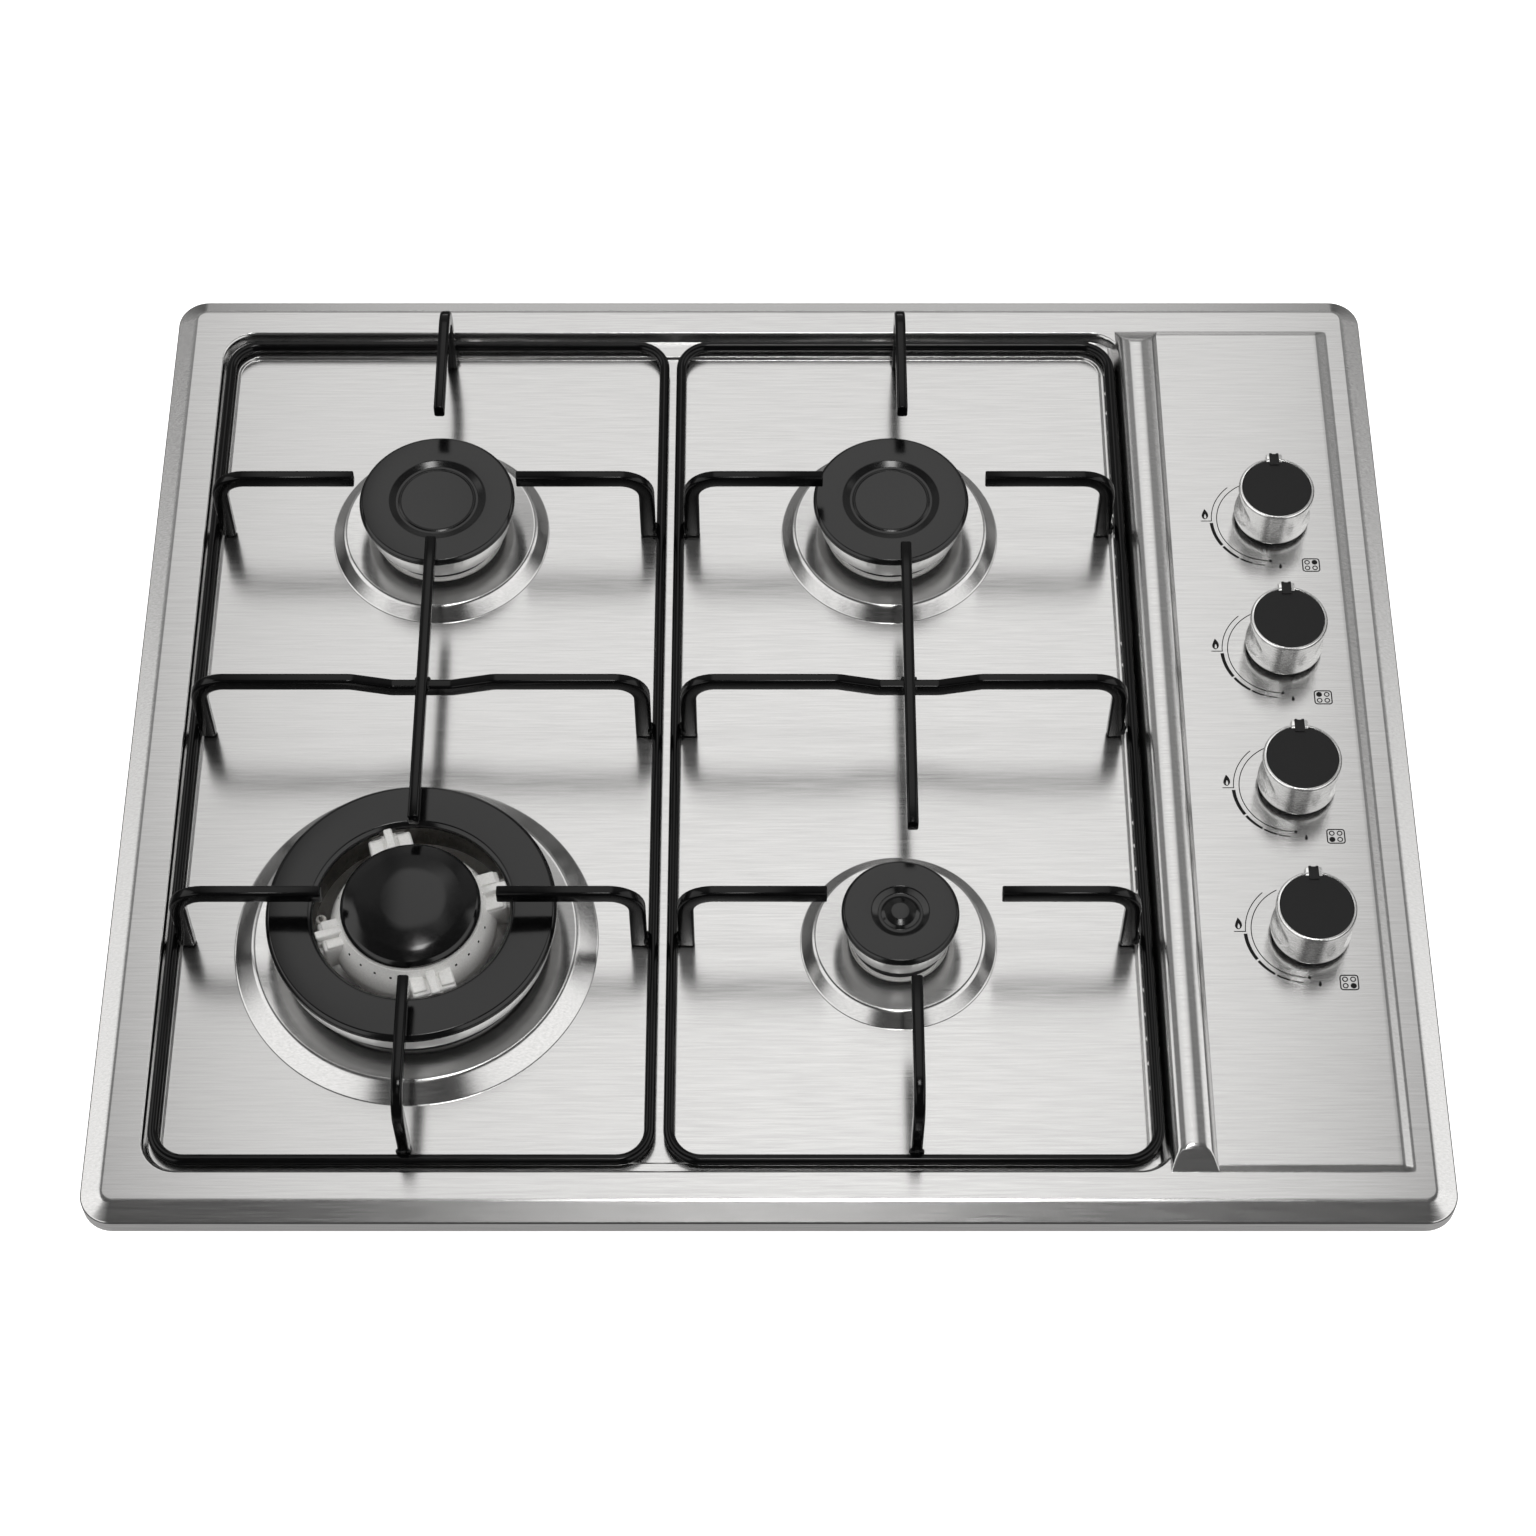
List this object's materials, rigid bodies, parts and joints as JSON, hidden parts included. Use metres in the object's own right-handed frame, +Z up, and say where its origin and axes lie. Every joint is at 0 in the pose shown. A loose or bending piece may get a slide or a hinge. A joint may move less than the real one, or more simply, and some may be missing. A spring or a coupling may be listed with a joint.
{
  "type": "built-in gas cooktop",
  "caption": "Built-in stainless gas cooktop with sunken cooking well, round burners, lift-off wire pan supports and push-and-turn knobs on a raised side panel.",
  "frame": {"origin": "below the middle of the top, on the plane of the bottom tray's underside", "axes": "+X from the cooking well towards the control panel, +Y to the rear, +Z up; the worktop's surface is the plane Z = 0.045 m"},
  "size_m": [0.58, 0.495, 0.098],
  "materials": {
    "stainless_top": "stainless steel, brushed side to side",
    "support_enamel": "gloss black enamel on steel bar",
    "cap_enamel": "semi-gloss black enamel",
    "burner_aluminium": "die-cast aluminium, turned edges",
    "electrode_ceramic": "white ceramic with a steel tip",
    "gas_brass": "machined brass",
    "knob_satin": "satin turned metal",
    "knob_black": "matt black plastic",
    "seal_rubber": "black rubber or foam",
    "tap_aluminium": "plain aluminium",
    "housing_black": "moulded black plastic",
    "galvanised_steel": "galvanised sheet steel"
  },
  "bodies": {
    "cooktop": {"hob_top": "stainless_top", "bottom_tray": "galvanised_steel", "worktop_seal": "seal_rubber", "right_worktop_clamp": "galvanised_steel", "left_worktop_clamp": "galvanised_steel", "rear_left_burner_cup": "burner_aluminium", "rear_right_burner_cup": "burner_aluminium", "front_right_burner_cup": "burner_aluminium", "wok_burner_cup": "burner_aluminium", "rear_left_injector": "gas_brass", "rear_right_injector": "gas_brass", "front_right_injector": "gas_brass", "wok_injector": "gas_brass", "rear_left_electrode": "electrode_ceramic", "rear_right_electrode": "electrode_ceramic", "front_right_electrode": "electrode_ceramic", "wok_electrode": "electrode_ceramic", "rear_right_tap_body": "tap_aluminium", "rear_left_tap_body": "tap_aluminium", "wok_tap_body": "tap_aluminium", "front_right_tap_body": "tap_aluminium", "rear_right_knob_seal": "seal_rubber", "rear_left_knob_seal": "seal_rubber", "wok_knob_seal": "seal_rubber", "front_right_knob_seal": "seal_rubber", "gas_rail": "tap_aluminium", "gas_inlet_elbow": "gas_brass", "rear_right_supply_pipe": "tap_aluminium", "rear_left_supply_pipe": "tap_aluminium", "wok_supply_pipe": "tap_aluminium", "front_right_supply_pipe": "tap_aluminium", "spark_generator": "housing_black", "mains_cable_gland": "housing_black"},
    "left_pan_support": {"pan_support_left": "support_enamel"},
    "right_pan_support": {"pan_support_right": "support_enamel"},
    "rear_left_head": {"rear_left_burner_head": "burner_aluminium"},
    "rear_left_cap": {"rear_left_burner_cap": "cap_enamel"},
    "rear_right_head": {"rear_right_burner_head": "burner_aluminium"},
    "rear_right_cap": {"rear_right_burner_cap": "cap_enamel"},
    "front_right_head": {"front_right_burner_head": "burner_aluminium"},
    "front_right_cap": {"front_right_burner_cap": "cap_enamel"},
    "wok_head": {"wok_burner_head": "burner_aluminium"},
    "wok_outer_cap": {"wok_ring_cap": "cap_enamel"},
    "wok_centre_cap": {"wok_inner_cap": "cap_enamel"},
    "rear_right_plug": {"rear_right_tap_plug": "gas_brass"},
    "rear_right_knob": {"rear_right_knob_shell": "knob_satin", "rear_right_knob_insert": "knob_black", "rear_right_tap_stem": "gas_brass"},
    "rear_left_plug": {"rear_left_tap_plug": "gas_brass"},
    "rear_left_knob": {"rear_left_knob_shell": "knob_satin", "rear_left_knob_insert": "knob_black", "rear_left_tap_stem": "gas_brass"},
    "wok_plug": {"wok_tap_plug": "gas_brass"},
    "wok_knob": {"wok_knob_shell": "knob_satin", "wok_knob_insert": "knob_black", "wok_tap_stem": "gas_brass"},
    "front_right_plug": {"front_right_tap_plug": "gas_brass"},
    "front_right_knob": {"front_right_knob_shell": "knob_satin", "front_right_knob_insert": "knob_black", "front_right_tap_stem": "gas_brass"}
  },
  "joints": [
    {"name": "rear_right_tap_turn", "type": "hinge", "parent": "cooktop", "child": "rear_right_plug", "pos_m": [0.237, 0.1128, 0.04], "axis": [0, 0, 1], "range_deg": [0, 180]},
    {"name": "rear_right_knob_push", "type": "slide", "parent": "rear_right_plug", "child": "rear_right_knob", "axis": [0, 0, -1], "range_m": [0, 0.003], "stiffness_N_per_m": 900, "springref_m": -0.003},
    {"name": "rear_left_tap_turn", "type": "hinge", "parent": "cooktop", "child": "rear_left_plug", "pos_m": [0.237, 0.0395, 0.04], "axis": [0, 0, 1], "range_deg": [0, 180]},
    {"name": "rear_left_knob_push", "type": "slide", "parent": "rear_left_plug", "child": "rear_left_knob", "axis": [0, 0, -1], "range_m": [0, 0.003], "stiffness_N_per_m": 900, "springref_m": -0.003},
    {"name": "wok_tap_turn", "type": "hinge", "parent": "cooktop", "child": "wok_plug", "pos_m": [0.237, -0.0352, 0.04], "axis": [0, 0, 1], "range_deg": [0, 180]},
    {"name": "wok_knob_push", "type": "slide", "parent": "wok_plug", "child": "wok_knob", "axis": [0, 0, -1], "range_m": [0, 0.003], "stiffness_N_per_m": 900, "springref_m": -0.003},
    {"name": "front_right_tap_turn", "type": "hinge", "parent": "cooktop", "child": "front_right_plug", "pos_m": [0.237, -0.1111, 0.04], "axis": [0, 0, 1], "range_deg": [0, 180]},
    {"name": "front_right_knob_push", "type": "slide", "parent": "front_right_plug", "child": "front_right_knob", "axis": [0, 0, -1], "range_m": [0, 0.003], "stiffness_N_per_m": 900, "springref_m": -0.003},
    {"name": "left_support_lift", "type": "slide", "parent": "cooktop", "child": "left_pan_support", "axis": [0, 0, 1], "range_m": [0, 0.06]},
    {"name": "right_support_lift", "type": "slide", "parent": "cooktop", "child": "right_pan_support", "axis": [0, 0, 1], "range_m": [0, 0.06]},
    {"name": "rear_left_head_lift", "type": "slide", "parent": "cooktop", "child": "rear_left_head", "axis": [0, 0, 1], "range_m": [0, 0.005]},
    {"name": "rear_left_cap_lift", "type": "slide", "parent": "rear_left_head", "child": "rear_left_cap", "axis": [0, 0, 1], "range_m": [0, 0.007]},
    {"name": "rear_right_head_lift", "type": "slide", "parent": "cooktop", "child": "rear_right_head", "axis": [0, 0, 1], "range_m": [0, 0.005]},
    {"name": "rear_right_cap_lift", "type": "slide", "parent": "rear_right_head", "child": "rear_right_cap", "axis": [0, 0, 1], "range_m": [0, 0.007]},
    {"name": "front_right_head_lift", "type": "slide", "parent": "cooktop", "child": "front_right_head", "axis": [0, 0, 1], "range_m": [0, 0.03]},
    {"name": "front_right_cap_lift", "type": "slide", "parent": "front_right_head", "child": "front_right_cap", "axis": [0, 0, 1], "range_m": [0, 0.03]},
    {"name": "wok_head_lift", "type": "slide", "parent": "cooktop", "child": "wok_head", "axis": [0, 0, 1], "range_m": [0, 0.0045]},
    {"name": "wok_outer_cap_lift", "type": "slide", "parent": "wok_head", "child": "wok_outer_cap", "axis": [0, 0, 1], "range_m": [0, 0.0065]},
    {"name": "wok_centre_cap_lift", "type": "slide", "parent": "wok_head", "child": "wok_centre_cap", "axis": [0, 0, 1], "range_m": [0, 0.03]}
  ]
}
